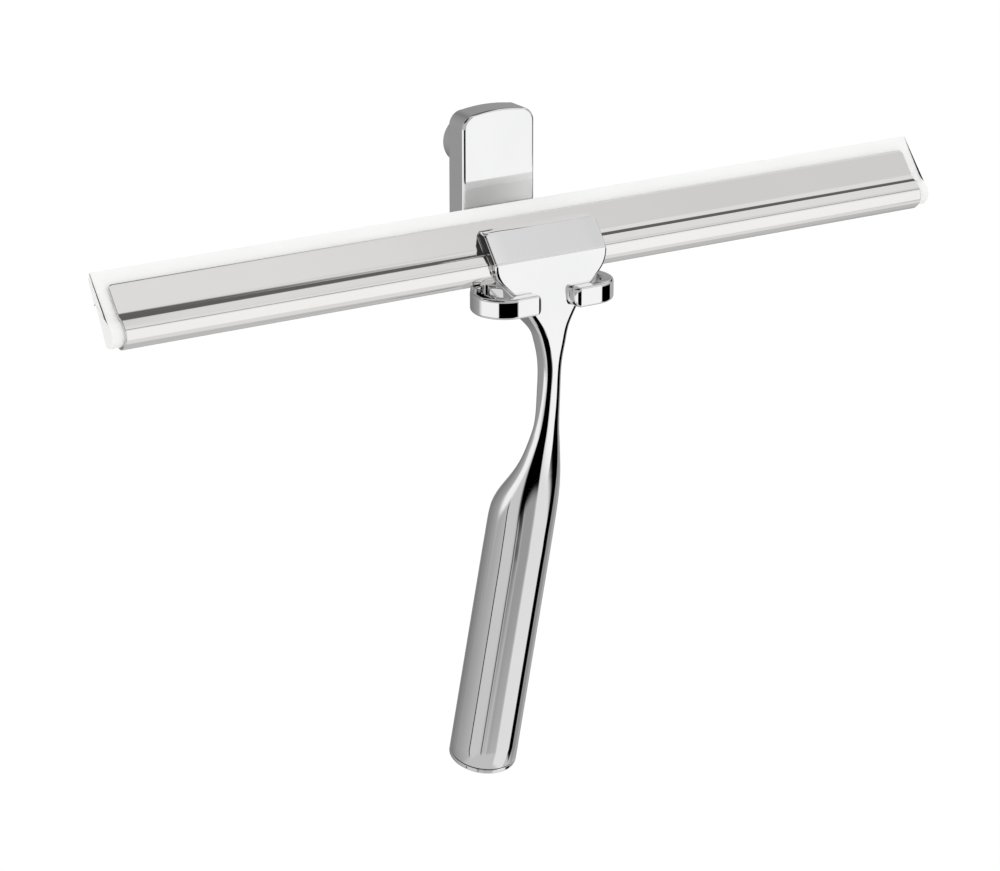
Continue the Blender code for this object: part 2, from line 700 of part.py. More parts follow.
for side, tag in ((-1, "l"), (1, "r")):
    top = (side * BOSS_SCREW_SPREAD, floor_y - GAP, 0.0)
    shape = (
        (0, BOSS_SCREW_HEAD),
        (0.0003, BOSS_SCREW_HEAD),
        (head_depth, BOSS_SCREW_RADIUS),
        (BOSS_SCREW_LENGTH, BOSS_SCREW_RADIUS),
        (BOSS_SCREW_LENGTH + 0.0005, BOSS_SCREW_RADIUS * 0.6),
    )
    screw_y(f"boss_screw_{tag}", top, 1, shape, BOSS_SCREW_HEAD * 0.42, SCREW_STEEL, 24)
    sink = (
        (-OVERRUN, BOSS_SCREW_HEAD),
        (0.0003 + GAP, BOSS_SCREW_HEAD),
        (head_depth + GAP, BOSS_SCREW_RADIUS),
        (BOSS_SCREW_LENGTH + 0.0009, BOSS_SCREW_RADIUS),
    )
    cut(standoff, screw_hole(f"boss_drill_{tag}", top, 1, sink, 24))
    plain = ((head_depth + GAP, BOSS_SCREW_RADIUS), (BOSS_SCREW_LENGTH + 0.0009, BOSS_SCREW_RADIUS))
    cut(holder_body, screw_hole(f"plate_drill_{tag}", top, 1, plain, 24))


def turned_z(name, profile, place, paint, sides=24):
    """A profile of (z, radius) pairs turned about a vertical axis through a place."""
    angles = [2 * math.pi * k / sides for k in range(sides)]
    rings = [[(r * math.cos(a), r * math.sin(a), z) for a in angles] for z, r in profile]
    made = loft(name, rings, paint)
    made.location = place
    return made


grub_place = (0.0, -DISC_THICKNESS / 2, 0.0)
grub_tip = -(disc_r - DISC_GROOVE_DEPTH + GAP)
grub_tail = -(BOSS_RADIUS - 0.0002)
grub_screw = turned_z(
    "grub_screw",
    (
        (grub_tail, GRUB_RADIUS),
        (grub_tip - 0.0007, GRUB_RADIUS),
        (grub_tip, GRUB_RADIUS * 0.6),
    ),
    grub_place,
    SCREW_STEEL,
)
cut(
    grub_screw,
    turned_z(
        "grub_key",
        ((grub_tail - OVERRUN, GRUB_RADIUS * 0.5), (grub_tail + 0.0016, GRUB_RADIUS * 0.5)),
        grub_place,
        None,
        6,
    ),
)
grub_bore = ((-BOSS_RADIUS - OVERRUN, GRUB_RADIUS + GAP), (-bore_r + OVERRUN, GRUB_RADIUS + GAP))
cut(standoff, turned_z("grub_drill", grub_bore, grub_place, None))
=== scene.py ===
"""Shower squeegee hanging in its wall holder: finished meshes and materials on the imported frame.

Metres, +Z up, the wall at Y = 0 and the room on its -Y side. X runs along the blade.
"""

import math

import bpy
import numpy as np
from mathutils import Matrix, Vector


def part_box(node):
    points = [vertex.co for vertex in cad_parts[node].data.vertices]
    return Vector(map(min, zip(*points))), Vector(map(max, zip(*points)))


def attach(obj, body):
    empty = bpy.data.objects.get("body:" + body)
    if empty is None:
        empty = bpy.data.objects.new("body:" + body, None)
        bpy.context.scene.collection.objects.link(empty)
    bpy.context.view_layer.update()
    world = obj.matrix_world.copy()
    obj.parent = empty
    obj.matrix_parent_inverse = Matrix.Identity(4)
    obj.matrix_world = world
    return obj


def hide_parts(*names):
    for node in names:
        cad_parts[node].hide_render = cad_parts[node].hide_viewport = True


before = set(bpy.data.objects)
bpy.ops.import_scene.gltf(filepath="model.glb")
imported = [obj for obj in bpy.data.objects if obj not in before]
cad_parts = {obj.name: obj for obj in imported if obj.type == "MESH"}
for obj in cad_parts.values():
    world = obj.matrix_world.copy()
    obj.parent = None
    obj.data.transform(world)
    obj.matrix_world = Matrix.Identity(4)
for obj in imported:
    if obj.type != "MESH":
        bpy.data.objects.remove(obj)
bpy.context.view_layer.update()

# ---- wall fixing ------------------------------------------------------------------------
# A turned zinc disc is screwed to the wall. The standoff slips over it, and a grub screw from
# below grips the disc's groove. Two countersunk screws hold the plate to the standoff.


class Link:
    """A shader socket that can stand in a Python expression; each operator adds a Math node."""

    def __init__(self, maker, socket):
        self.maker = maker
        self.socket = socket

    def __add__(self, other):
        return self.maker.maths("ADD", self, other)

    def __radd__(self, other):
        return self.maker.maths("ADD", other, self)

    def __sub__(self, other):
        return self.maker.maths("SUBTRACT", self, other)

    def __rsub__(self, other):
        return self.maker.maths("SUBTRACT", other, self)

    def __mul__(self, other):
        return self.maker.maths("MULTIPLY", self, other)

    def __rmul__(self, other):
        return self.maker.maths("MULTIPLY", other, self)


class Finish:
    """One material: its Principled shader, and a way to add any node with settings and inputs."""

    def __init__(self, name, colour, metallic, roughness):
        self.material = bpy.data.materials.new(name)
        self.material.use_nodes = True
        self.tree = self.material.node_tree
        self.shader = self.tree.nodes["Principled BSDF"]
        self.shader.inputs["Base Color"].default_value = (*colour, 1)
        self.shader.inputs["Metallic"].default_value = metallic
        self.shader.inputs["Roughness"].default_value = roughness
        self.material.diffuse_color = (*colour, 1)

    def feed(self, socket, value):
        if isinstance(value, Link):
            self.tree.links.new(value.socket, socket)
        elif value is not None:
            socket.default_value = value

    def node(self, kind, settings=None, *values, output=0, **named):
        """Adds a node: settings first, then its sockets by place or by name."""
        made = self.tree.nodes.new(kind)
        for key, value in (settings or {}).items():
            setattr(made, key, value)
        for socket, value in zip(made.inputs, values):
            self.feed(socket, value)
        for key, value in named.items():
            self.feed(made.inputs[key.replace("_", " ")], value)
        return Link(self, made.outputs[output])

    def maths(self, operation, *values):
        return self.node("ShaderNodeMath", {"operation": operation}, *values)

    def place(self, scale=(1, 1, 1)):
        """Object coordinates in metres, stretched by scale."""
        where = self.node("ShaderNodeTexCoord", output=3)
        return self.node("ShaderNodeMapping", None, where, Scale=scale)

    def noise(self, scale, detail=2.0, stretch=(1, 1, 1), rough=0.5):
        """A noise value of that many cells per metre, from 0 to 1."""
        where = self.place(stretch)
        return self.node(
            "ShaderNodeTexNoise", None, where, Scale=scale, Detail=detail, Roughness=rough
        )

    def mix(self, share, first, second):
        """One colour into another by a share from 0 to 1."""
        made = self.tree.nodes.new("ShaderNodeMix")
        made.data_type = "RGBA"
        self.feed(made.inputs[0], share)
        self.feed(made.inputs[6], first)
        self.feed(made.inputs[7], second)
        return Link(self, made.outputs[2])

    def bump(self, height, strength, distance):
        normal = self.node("ShaderNodeBump", None, Strength=strength, Distance=distance, Height=height)
        self.feed(self.shader.inputs["Normal"], normal)

    def set(self, **values):
        for key, value in values.items():
            self.feed(self.shader.inputs[key.replace("_", " ")], value)


def raw_zinc():
    """Die-cast zinc: grey, a little cloudy, with a fine grain from the mould."""
    zinc = Finish("raw_zinc", (0.52, 0.53, 0.54), 1.0, 0.42)
    cloud = zinc.noise(220, 3)
    grain = zinc.noise(3500, 2)
    zinc.set(Base_Color=zinc.mix(cloud, (0.42, 0.43, 0.45, 1), (0.66, 0.66, 0.66, 1)))
    zinc.set(Roughness=0.3 + 0.25 * cloud)
    zinc.bump(grain, 0.35, 0.00008)
    return zinc.material


def screw_steel():
    """Bright zinc-plated screw steel with turning marks and a faint blue-yellow cast."""
    steel = Finish("screw_steel", (0.62, 0.62, 0.62), 1.0, 0.28)
    cast = steel.noise(300, 2)
    marks = steel.noise(900, 3, (1, 9, 1))
    steel.set(Base_Color=steel.mix(cast, (0.58, 0.61, 0.66, 1), (0.72, 0.70, 0.62, 1)))
    steel.set(Roughness=0.18 + 0.22 * marks)
    steel.bump(marks, 0.25, 0.00004)
    return steel.material


ZINC = raw_zinc()
SCREW_STEEL = screw_steel()
for node, finish in (
    ("mount_disc", ZINC),
    ("grub_screw", SCREW_STEEL),
    ("boss_screw_l", SCREW_STEEL),
    ("boss_screw_r", SCREW_STEEL),
    ("jaw_screw_l", SCREW_STEEL),
    ("jaw_screw_r", SCREW_STEEL),
):
    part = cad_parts[node]
    part.data.materials.clear()
    part.data.materials.append(finish)

# ---- standoff ---------------------------------------------------------------------------
# A short turned brass boss, chromed, that keeps the plate off the wall. Its back is bored to
# take the disc. The edges are broken with a small round.


def chrome_plate(name, tint, base_roughness):
    """Polished and plated metal: faint buffing waves, hairline wipe marks and thin dulled clouds."""
    chrome = Finish(name, tint, 1.0, base_roughness)
    cloud = chrome.noise(38, 4)
    hair = chrome.noise(520, 3, (1, 1, 7))
    wave = chrome.noise(46, 1)
    dull = tuple(0.93 * c for c in tint)
    chrome.set(Base_Color=chrome.mix(cloud, (*tint, 1), (*dull, 1)))
    chrome.set(Roughness=base_roughness * 0.6 + base_roughness * 0.8 * cloud + 0.012 * hair)
    chrome.bump(wave + 0.02 * hair, 0.12, 0.0001)
    return chrome.material


CHROME = chrome_plate("chrome_plate", (0.93, 0.93, 0.935), 0.035)


def surface(name, rings, finish, body, ends=True, sharp=35):
    """A closed skin over a grid of points: each row is a ring, neighbouring rows are joined
    by four-sided faces, and a flat face closes each end. The volume's sign turns it outward."""
    rings = np.asarray(rings, float)
    rows, count = rings.shape[:2]
    index = np.arange(rows * count).reshape(rows, count)
    ahead = np.roll(index, -1, axis=1)
    quads = np.stack((index[:-1], ahead[:-1], ahead[1:], index[1:]), -1).reshape(-1, 4)
    points = rings.reshape(-1, 3)
    middle = points.mean(0)
    a, b, c, d = (points[quads[:, k]] - middle for k in range(4))
    volume = np.einsum("ij,ij->i", a, np.cross(b, c) + np.cross(c, d)).sum()
    faces = quads.tolist()
    if ends:
        faces += [index[0][::-1].tolist(), index[-1].tolist()]
    if volume < 0:
        faces = [face[::-1] for face in faces]
    mesh = bpy.data.meshes.new(name)
    mesh.from_pydata(points.tolist(), [], faces)
    mesh.validate()
    mesh.shade_smooth()
    mesh.set_sharp_from_angle(angle=math.radians(sharp))
    mesh.materials.append(finish)
    made = bpy.data.objects.new(name, mesh)
    bpy.context.scene.collection.objects.link(made)
    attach(made, body)
    return made


def rounded_line(corners, radii, steps=8, hold=0.00003):
    """An open line through corners, each turned on an arc of its radius, with a point held
    just outside each arc's ends so that the flats stay flat."""
    corners = np.asarray(corners, float)
    points = [corners[:1]]
    for before, at, after, radius in zip(corners, corners[1:], corners[2:], radii):
        back = (before - at) / np.linalg.norm(before - at)
        on = (after - at) / np.linalg.norm(after - at)
        half = math.acos(float(np.clip(back @ on, -1, 1))) / 2
        reach = radius / math.tan(half)
        hub = at + (back + on) / np.linalg.norm(back + on) * radius / math.sin(half)
        start = at + back * reach - hub
        end = at + on * reach - hub
        share = np.linspace(0, 1, steps + 1)[:, None]
        swing = math.pi - 2 * half
        arc = (np.sin((1 - share) * swing) * start + np.sin(share * swing) * end) / math.sin(swing)
        points += [(at + back * (reach + hold))[None], hub + arc, (at + on * (reach + hold))[None]]
    points.append(corners[-1:])
    return np.concatenate(points)


def turned(profile, hub, along, across, up, sides=128):
    """Rings of a turned piece: each (distance along, radius) of the profile is one circle."""
    angle = np.linspace(0, 2 * math.pi, sides, endpoint=False)
    circle = np.cos(angle)[:, None] * across + np.sin(angle)[:, None] * up
    return hub + profile[:, 0, None, None] * along + profile[:, 1, None, None] * circle


X = np.array([1.0, 0.0, 0.0])
Y = np.array([0.0, 1.0, 0.0])
Z = np.array([0.0, 0.0, 1.0])
low, high = (np.array(corner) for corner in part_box("standoff"))
boss_radius = high[0]
CLEARANCE = 0.0003
POLE = 0.00005
disc_low, disc_high = (np.array(corner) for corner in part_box("mount_disc"))
cup_radius = disc_high[0] + CLEARANCE
cup_floor = disc_low[1] - CLEARANCE
EDGE = 0.0007
corners = [
    (cup_floor, POLE),
    (cup_floor, cup_radius),
    (high[1], cup_radius),
    (high[1], boss_radius),
    (low[1], boss_radius),
    (low[1], POLE),
]
profile = rounded_line(corners, (0.0003, 0.0003, EDGE, EDGE), 8)
standoff = surface("standoff_boss", turned(profile, np.zeros(3), Y, X, Z), CHROME, "holder")
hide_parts("standoff")

# ---- holder plate and straps ------------------------------------------------------------
# One zinc casting, chromed: a thick plate with softly rounded edges and faintly arched ends,
# and two straps that sweep out of its foot into an open ring.
low, high = (np.array(corner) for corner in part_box("holder_body"))
PLATE_HALF = 0.01535
PLATE_DEPTH = 0.0103
PLATE_CORNER = 0.0054
PLATE_ARCH = 0.0008
PLATE_ROUND = 0.0011
PLATE_BACK_ROUND = 0.0006
plate_middle = (low[2] + high[2]) / 2
plate_half_height = (high[2] - low[2]) / 2
plate_front = high[1] - PLATE_DEPTH


def plate_ring(inset):
    """The plate's outline at an inset: a rounded rectangle whose ends rise by an arch that
    falls off with the square of the distance from the middle."""
    half = PLATE_HALF - inset
    tall = plate_half_height - PLATE_ARCH - inset
    radius = PLATE_CORNER - inset
    turn = np.linspace(0, math.pi / 2, 25)
    rise = np.linspace(1, -1, 41)[1:-1]
    corner = np.stack((half - radius + radius * np.cos(turn), tall - radius + radius * np.sin(turn)), -1)
    top = np.stack((rise * (half - radius), tall + PLATE_ARCH * (1 - rise**2)), -1)
    mirror = corner[::-1] * (-1, 1)
    upper = np.concatenate((corner, top, mirror))
    return np.concatenate((upper, -upper))


def edge_steps(radius, steps=8):
    """Pairs (how far in from the face, inset of the outline) round a quarter circle."""
    turn = np.linspace(0, math.pi / 2, steps + 1)
    return np.stack((radius * (1 - np.sin(turn)), radius * (1 - np.cos(turn))), -1)


# HOLD keeps one more ring just outside each rounded edge, so that the flats stay flat.
HOLD = 0.00003
back_edge = edge_steps(PLATE_BACK_ROUND)[::-1]
front_edge = edge_steps(PLATE_ROUND, 12)
slices = [(high[1], PLATE_BACK_ROUND + HOLD)]
slices += [(high[1] - depth, inset) for depth, inset in back_edge]
slices.append((high[1] - PLATE_BACK_ROUND - HOLD, 0.0))
slices.append((plate_front + PLATE_ROUND + HOLD, 0.0))
slices += [(plate_front + depth, inset) for depth, inset in front_edge]
slices.append((plate_front, PLATE_ROUND + HOLD))
rings = []
for y, inset in slices:
    flat = plate_ring(inset)
    rings.append(np.stack((flat[:, 0], np.full(len(flat), y), flat[:, 1] + plate_middle), -1))
plate = surface("holder_plate", rings, CHROME, "holder")
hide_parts("holder_body")

STRAP_THICK = 0.0048
STRAP_TALL = 0.00755
STRAP_ROUND = 0.0011
RING_CORNER = 0.0117
RING_FLANK = 0.0160
FLANK_TURN = math.radians(35)
MOUTH_HALF = 0.00725
ring_half = high[0]
ring_front = low[1]
strap_middle = low[2] + PLATE_ARCH + STRAP_TALL / 2


def bend_path(start, heading, moves, step=math.radians(1.5), run_step=0.0006):
    """Follows straight runs and arcs in a plane; gives the points and the headings there."""
    place = np.array(start, float)
    points = [place[None]]
    headings = [np.array([heading])]
    for radius, amount in moves:
        if radius is None:
            share = np.linspace(0, amount, max(2, math.ceil(amount / run_step)) + 1)[1:, None]
            run = place + share * (math.cos(heading), math.sin(heading))
            points.append(run)
            headings.append(np.full(len(run), heading))
            place = run[-1]
            continue
        side = math.copysign(1.0, amount)
        hub = place + side * radius * np.array([-math.sin(heading), math.cos(heading)])
        turned_to = heading + np.linspace(0, amount, max(3, math.ceil(abs(amount) / step)) + 1)[1:]
        arc = hub - side * radius * np.stack((-np.sin(turned_to), np.cos(turned_to)), -1)
        points.append(arc)
        headings.append(turned_to)
        heading = heading + amount
        place = arc[-1]
    return np.concatenate(points), np.concatenate(headings)


def rounded_rings(half_u, half_v, radius, steps=10, hold=0.3):
    """Rounded rectangles, one for each entry of the three arrays: straight sides joined by
    quarter ellipses, with a point held near each arc's end so that the flats stay flat."""
    half_u, half_v, radius = np.broadcast_arrays(
        *(np.atleast_1d(np.asarray(v, float)) for v in (half_u, half_v, radius))
    )
    ru = np.minimum(radius, half_u * 0.996)[:, None]
    rv = np.minimum(radius, half_v * 0.996)[:, None]
    hu = half_u[:, None]
    hv = half_v[:, None]
    turn = np.linspace(0, math.pi / 2, steps + 1)
    rings = []
    for k, (su, sv) in enumerate(((1, 1), (-1, 1), (-1, -1), (1, -1))):
        c = np.cos(turn + k * math.pi / 2)
        s = np.sin(turn + k * math.pi / 2)
        u = su * (hu - ru) + ru * c
        v = sv * (hv - rv) + rv * s
        keep_u = np.minimum((hu - ru) * hold, 0.00004)
        keep_v = np.minimum((hv - rv) * hold, 0.00004)
        u = np.concatenate((u[:, :1] + keep_u * s[0], u, u[:, -1:] - keep_u * s[-1]), 1)
        v = np.concatenate((v[:, :1] - keep_v * c[0], v, v[:, -1:] + keep_v * c[-1]), 1)
        rings.append(np.stack((u, v), -1))
    return np.concatenate(rings, 1)


strap_half = STRAP_THICK / 2
STRAP_SUNK = 0.0025
flank_end = ring_front + RING_CORNER + RING_FLANK * math.sin(FLANK_TURN)
strut = (plate_front - flank_end) / math.cos(FLANK_TURN)
path, heading = bend_path(
    (MOUTH_HALF, ring_front + strap_half),
    0.0,
    (
        (None, ring_half - RING_CORNER - MOUTH_HALF),
        (RING_CORNER - strap_half, math.radians(90)),
        (RING_FLANK - strap_half, FLANK_TURN),
        (None, strut + STRAP_SUNK),
    ),
)
left = np.stack((-np.sin(heading), np.cos(heading)), -1)
tip_turn = np.linspace(0, math.pi / 2, 9)
TIP_ROUND = 0.0021
tip_in = np.concatenate(([0.0], TIP_ROUND * (1 - np.cos(tip_turn))))
tip_shrink = np.concatenate(([TIP_ROUND + HOLD], TIP_ROUND * (1 - np.sin(tip_turn))))
# The path's points within the rounded tip make way for the tip's own.
FRONT_POINTS = 20
keep = path[:, 0] > MOUTH_HALF + TIP_ROUND + 0.00005
keep |= np.arange(len(path)) > FRONT_POINTS
tip_line = np.stack((MOUTH_HALF + tip_in, np.full(len(tip_in), ring_front + strap_half)), -1)
centres = np.concatenate((tip_line, path[keep]))
sides = np.concatenate((np.tile((0.0, 1.0), (len(tip_in), 1)), left[keep]))
shrink = np.concatenate((tip_shrink, np.zeros(keep.sum())))
section = rounded_rings(strap_half - shrink, STRAP_TALL / 2 - shrink, STRAP_ROUND + 0.4 * shrink)
for side, tag in ((-1, "l"), (1, "r")):
    flat = centres[:, None] + section[:, :, :1] * sides[:, None]
    rings = np.stack((side * flat[..., 0], flat[..., 1], strap_middle + section[..., 1]), -1)
    strap = surface(f"holder_strap_{tag}", rings, CHROME, "holder")

# ---- rail ---------------------------------------------------------------------------------
# Polished stainless sheet, folded along its whole length into a channel: a leaning flat, a
# swelling nose, a floor and a back wall. It grips the blade between its two walls.


def polished_steel():
    """Rolled and polished sheet: long fine draw lines along X, a warm tint, soft dull streaks."""
    steel = Finish("polished_sheet", (0.86, 0.85, 0.83), 1.0, 0.08)
    streak = steel.noise(180, 3, (0.02, 1, 1))
    cloud = steel.noise(14, 3)
    lines = steel.noise(5200, 2, (0.006, 1, 1))
    steel.set(Base_Color=steel.mix(cloud, (0.90, 0.89, 0.875, 1), (0.83, 0.82, 0.80, 1)))
    steel.set(Roughness=0.05 + 0.05 * streak + 0.02 * lines)
    steel.bump(0.3 * lines + streak, 0.08, 0.00004)
    return steel.material


SHEET_STEEL = polished_steel()
SHEET = 0.0008
RAIL_LEAN = math.radians(39.3)
RAIL_FLAT = 0.0103
RAIL_MOVES = (
    (None, RAIL_FLAT),
    (0.00568, math.radians(35)),
    (0.0013, -math.radians(29)),
    (None, 0.0024),
    (0.0040, -math.radians(6)),
    (0.0052, -math.radians(90)),
    (None, 0.0014),
    (0.0033, -math.radians(101)),
    (None, 0.0135),
)
fold, fold_heading = bend_path((0.0, 0.0), 0.0, RAIL_MOVES, math.radians(3))
fold_left = np.stack((-np.sin(fold_heading), np.cos(fold_heading)), -1)


def lean(points):
    """From the flat's own axes (down along it, out from it) to (Y, Z) from its top edge."""
    down, out = points[..., 0], points[..., 1]
    return np.stack(
        (
            -down * math.sin(RAIL_LEAN) - out * math.cos(RAIL_LEAN),
            -down * math.cos(RAIL_LEAN) + out * math.sin(RAIL_LEAN),
        ),
        -1,
    )


low, high = (np.array(corner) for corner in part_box("rail"))
rail_half = high[0]
rail_edge = np.array([low[1] - lean(fold)[:, 0].min(), high[2]])
HEM = 0.00018
RAIL_CORNER = 0.0016
FLAT_POINTS = 40


def rail_ring(inset, top_drop):
    """The sheet's outline at one place along the rail, shrunk by an inset all round, with the
    front wall's top edge lowered by a drop."""
    outer = fold - fold_left * inset
    inner = fold - fold_left * (SHEET - inset)
    flat = (fold[:, 0] <= RAIL_FLAT + 1e-9) & (np.arange(len(fold)) < FLAT_POINTS)
    share = 1 - np.clip(fold[:, 0] / RAIL_FLAT, 0, 1)
    lower = np.where(flat, (top_drop + inset) * share, 0)
    outer = outer + lower[:, None] * (1, 0)
    inner = inner + lower[:, None] * (1, 0)
    edge = np.linspace(0, math.pi, 9)[1:-1]
    middle = (outer[0] + inner[0]) / 2
    thick = (outer[0] - inner[0]) / 2
    top = middle - np.cos(edge)[:, None] * thick - np.sin(edge)[:, None] * HEM * np.array((1, 0))
    last = (outer[-1] + inner[-1]) / 2
    half = (outer[-1] - inner[-1]) / 2
    ahead = np.array((math.cos(fold_heading[-1]), math.sin(fold_heading[-1])))
    tail = last + np.cos(edge)[:, None] * half + np.sin(edge)[:, None] * HEM * ahead
    ring = np.concatenate((outer, tail, inner[::-1], top))
    return lean(ring) + rail_edge


END_ROUND = 0.00025
reach = np.concatenate(
    (
        [0.0],
        END_ROUND * (1 - np.cos(np.linspace(0, math.pi / 2, 6))),
        RAIL_CORNER * (1 - np.cos(np.linspace(0.35, math.pi / 2, 14))),
    )
)
reach = np.unique(np.concatenate((reach, [RAIL_CORNER + 0.0001])))
depth_in = np.clip(reach, 0, RAIL_CORNER)
drop = RAIL_CORNER - np.sqrt(RAIL_CORNER**2 - (RAIL_CORNER - depth_in) ** 2)
end_in = END_ROUND - np.clip(reach, 0, END_ROUND)
shrink = END_ROUND - np.sqrt(np.clip(END_ROUND**2 - end_in**2, 0, None))
stations = [(-rail_half + r, s, d) for r, s, d in zip(reach, shrink, drop)]
stations += [(x, 0.0, 0.0) for x in np.linspace(-rail_half + 0.01, rail_half - 0.01, 35)]
stations += [(-x, s, d) for x, s, d in stations[: len(reach)][::-1]]
rings = []
for x, inset, top_drop in stations:
    flat = rail_ring(inset, top_drop)
    rings.append(np.concatenate((np.full((len(flat), 1), x), flat), 1))
rail = surface("rail_channel", rings, SHEET_STEEL, "squeegee", sharp=50)
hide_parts("rail")

# ---- blade --------------------------------------------------------------------------------
# One extruded strip of clear-white silicone: a body that fills the channel, and a lip that
# stands above the front wall and wipes. It pulls out of the rail's end to be replaced.


def silicone():
    """Translucent white silicone: faint extrusion lines along X and a soft, slightly dusty skin."""
    rubber = Finish("clear_silicone", (0.93, 0.93, 0.92), 0.0, 0.32)
    lines = rubber.noise(2600, 2, (0.01, 1, 1))
    cloud = rubber.noise(60, 3)
    rubber.set(Base_Color=rubber.mix(cloud, (0.90, 0.90, 0.89, 1), (0.86, 0.86, 0.845, 1)))
    rubber.set(Roughness=0.26 + 0.14 * cloud + 0.05 * lines)
    rubber.bump(lines, 0.15, 0.00006)
    rubber.shader.inputs["Subsurface Weight"].default_value = 0.35
    rubber.shader.inputs["Subsurface Radius"].default_value = (0.004, 0.004, 0.004)
    rubber.shader.inputs["Subsurface Scale"].default_value = 1.0
    rubber.shader.inputs["IOR"].default_value = 1.41
    return rubber.material


SILICONE = silicone()
LIP_HEIGHT = 0.0061
LIP_TIP = 0.0024
LIP_SLANT = 0.0013
GAP = 0.0003
low, high = (np.array(corner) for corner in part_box("blade"))
blade_half = high[0]
channel = fold - fold_left * (SHEET + GAP)
shoulder = fold[-1]
tip = np.array([-LIP_HEIGHT, channel[0, 1] + 0.0002])
back_tip = np.array([-LIP_HEIGHT + LIP_SLANT, channel[0, 1] - LIP_TIP])
step_down = np.array([shoulder[0] - 0.0013, shoulder[1]])
ledge = np.array([shoulder[0] - GAP, shoulder[1]])
ledge_in = np.array([shoulder[0] - GAP, channel[-1, 1]])
upper = rounded_line(
    [channel[-1], ledge_in, ledge, step_down, back_tip, tip, channel[0]],
    (0.0001, 0.00012, 0.0004, 0.0003, 0.0002),
    6,
    0.00002,
)
outline = np.concatenate((channel, upper[1:-1]))
centre = outline.mean(0)
BLADE_ROUND = 0.0003
turn = np.linspace(0, math.pi / 2, 6)
ends = np.concatenate(([0.0], BLADE_ROUND * (1 - np.cos(turn))))
tuck = np.concatenate(([BLADE_ROUND * 1.3], BLADE_ROUND * (1 - np.sin(turn))))
around = np.roll(outline, -1, 0) - np.roll(outline, 1, 0)
inward = np.stack((around[:, 1], -around[:, 0]), -1)
inward /= np.maximum(np.linalg.norm(inward, axis=1, keepdims=True), 1e-9)
if ((centre - outline) * inward).sum() < 0:
    inward = -inward
stations = [(-blade_half + e, t) for e, t in zip(ends, tuck)]
stations += [(x, 0.0) for x in np.linspace(-blade_half + 0.004, blade_half - 0.004, 45)]
stations += [(-x, t) for x, t in stations[: len(ends)][::-1]]
rings = []
for x, inset in stations:
    flat = lean(outline + inward * inset) + rail_edge
    rings.append(np.concatenate((np.full((len(flat), 1), x), flat), 1))
blade = surface("blade_strip", rings, SILICONE, "blade_strip")
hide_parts("blade")

# ---- handle -------------------------------------------------------------------------------
# One zinc casting, chromed and polished: a broad head that clamps the rail's front, a flare
# that hangs in the ring, a slim squared neck, and a round hollow grip that leans to the wall.
HEAD_STAND = 0.00445
HEAD_DROP = 0.00675
HEAD_FACET = 0.01285
HEAD_EDGE = 0.0010
FOLD_GROOVE = 0.00009
FOOT_HEIGHT = 0.0112
GRIP_SETBACK = 0.0486
GRIP_RADIUS = 0.0131
GRIP_TOP_RADIUS = 0.0127
GRIP_LEAN = math.radians(14.75)
CAP_THICK = 0.0019
low, high = (np.array(corner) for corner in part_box("handle"))
head_half = high[0]
top_y, top_z = lean(np.array((HEAD_DROP, HEAD_STAND))) + rail_edge
fold_y, fold_z = lean(np.array((HEAD_DROP + HEAD_FACET, HEAD_STAND))) + rail_edge
skin = lean(fold + fold_left * GAP) + rail_edge
rail_low = skin[:, 1].min()
foot_drop = fold_z - (rail_low - FOOT_HEIGHT)
foot_back = skin[:-1, 0].max() - GAP
lowest = int(skin[:, 1].argmin())


def spline(places, values, at):
    """A curve through the knots whose slope and bend both run on smoothly; the bend dies away
    at both ends. Found by solving for the bend at every knot at once."""
    places = np.asarray(places, float)
    values = np.asarray(values, float)
    gap = np.diff(places)
    slope = np.diff(values) / gap
    matrix = np.eye(len(places))
    inner = np.arange(1, len(places) - 1)
    matrix[inner, inner - 1] = gap[:-1]
    matrix[inner, inner] = 2 * (gap[:-1] + gap[1:])
    matrix[inner, inner + 1] = gap[1:]
    right = np.zeros(len(places))
    right[1:-1] = 6 * np.diff(slope)
    bend = np.linalg.solve(matrix, right)
    k = np.clip(np.searchsorted(places, at) - 1, 0, len(gap) - 1)
    before = at - places[k]
    after = places[k + 1] - at
    straight = (values[k] * after + values[k + 1] * before) / gap[k]
    curl_before = bend[k] * after * (after**2 / gap[k] - gap[k])
    curl_after = bend[k + 1] * before * (before**2 / gap[k] - gap[k])
    return straight + (curl_before + curl_after) / 6


# Each station: distance below the fold, half width, front and back depth from the fold, and
# the depth of the rounding at the front and at the back.
STATIONS = np.array(
    (
        (0.0260, 0.00725, -0.00215, 0.00595, 0.00211, 0.00215),
        (0.0320, 0.00535, -0.00278, 0.00587, 0.00231, 0.00229),
        (0.0380, 0.00414, -0.00272, 0.00560, 0.00240, 0.00240),
        (0.0440, 0.00368, -0.00245, 0.00559, 0.00245, 0.00245),
        (0.0510, 0.00379, -0.00191, 0.00587, 0.00252, 0.00252),
        (0.0580, 0.00416, -0.00116, 0.00607, 0.00279, 0.00278),
        (0.0650, 0.00489, -0.00022, 0.00688, 0.00333, 0.00344),
        (0.0720, 0.00622, 0.00084, 0.00906, 0.00435, 0.00464),
        (0.0790, 0.00777, 0.00197, 0.01222, 0.00601, 0.00655),
        (0.0860, 0.00961, 0.00320, 0.01743, 0.00825, 0.00913),
        (0.0930, 0.01139, 0.00457, 0.02445, 0.01050, 0.01148),
        (0.1000, 0.01249, 0.00604, 0.03036, 0.01240, 0.01270),
        (0.1070, 0.01270, 0.00760, 0.03337, 0.01313, 0.01313),
        (0.1140, 0.01271, 0.00931, 0.03534, 0.01313, 0.01313),
    )
)
side_path, _ = bend_path(
    (0.0, head_half),
    0.0,
    (
        (None, 0.0012),
        (0.0102, -math.radians(41.7)),
        (None, 0.0118),
        (0.0385, math.radians(41.7)),
    ),
)
cap_low = np.array(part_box("end_cap")[0])
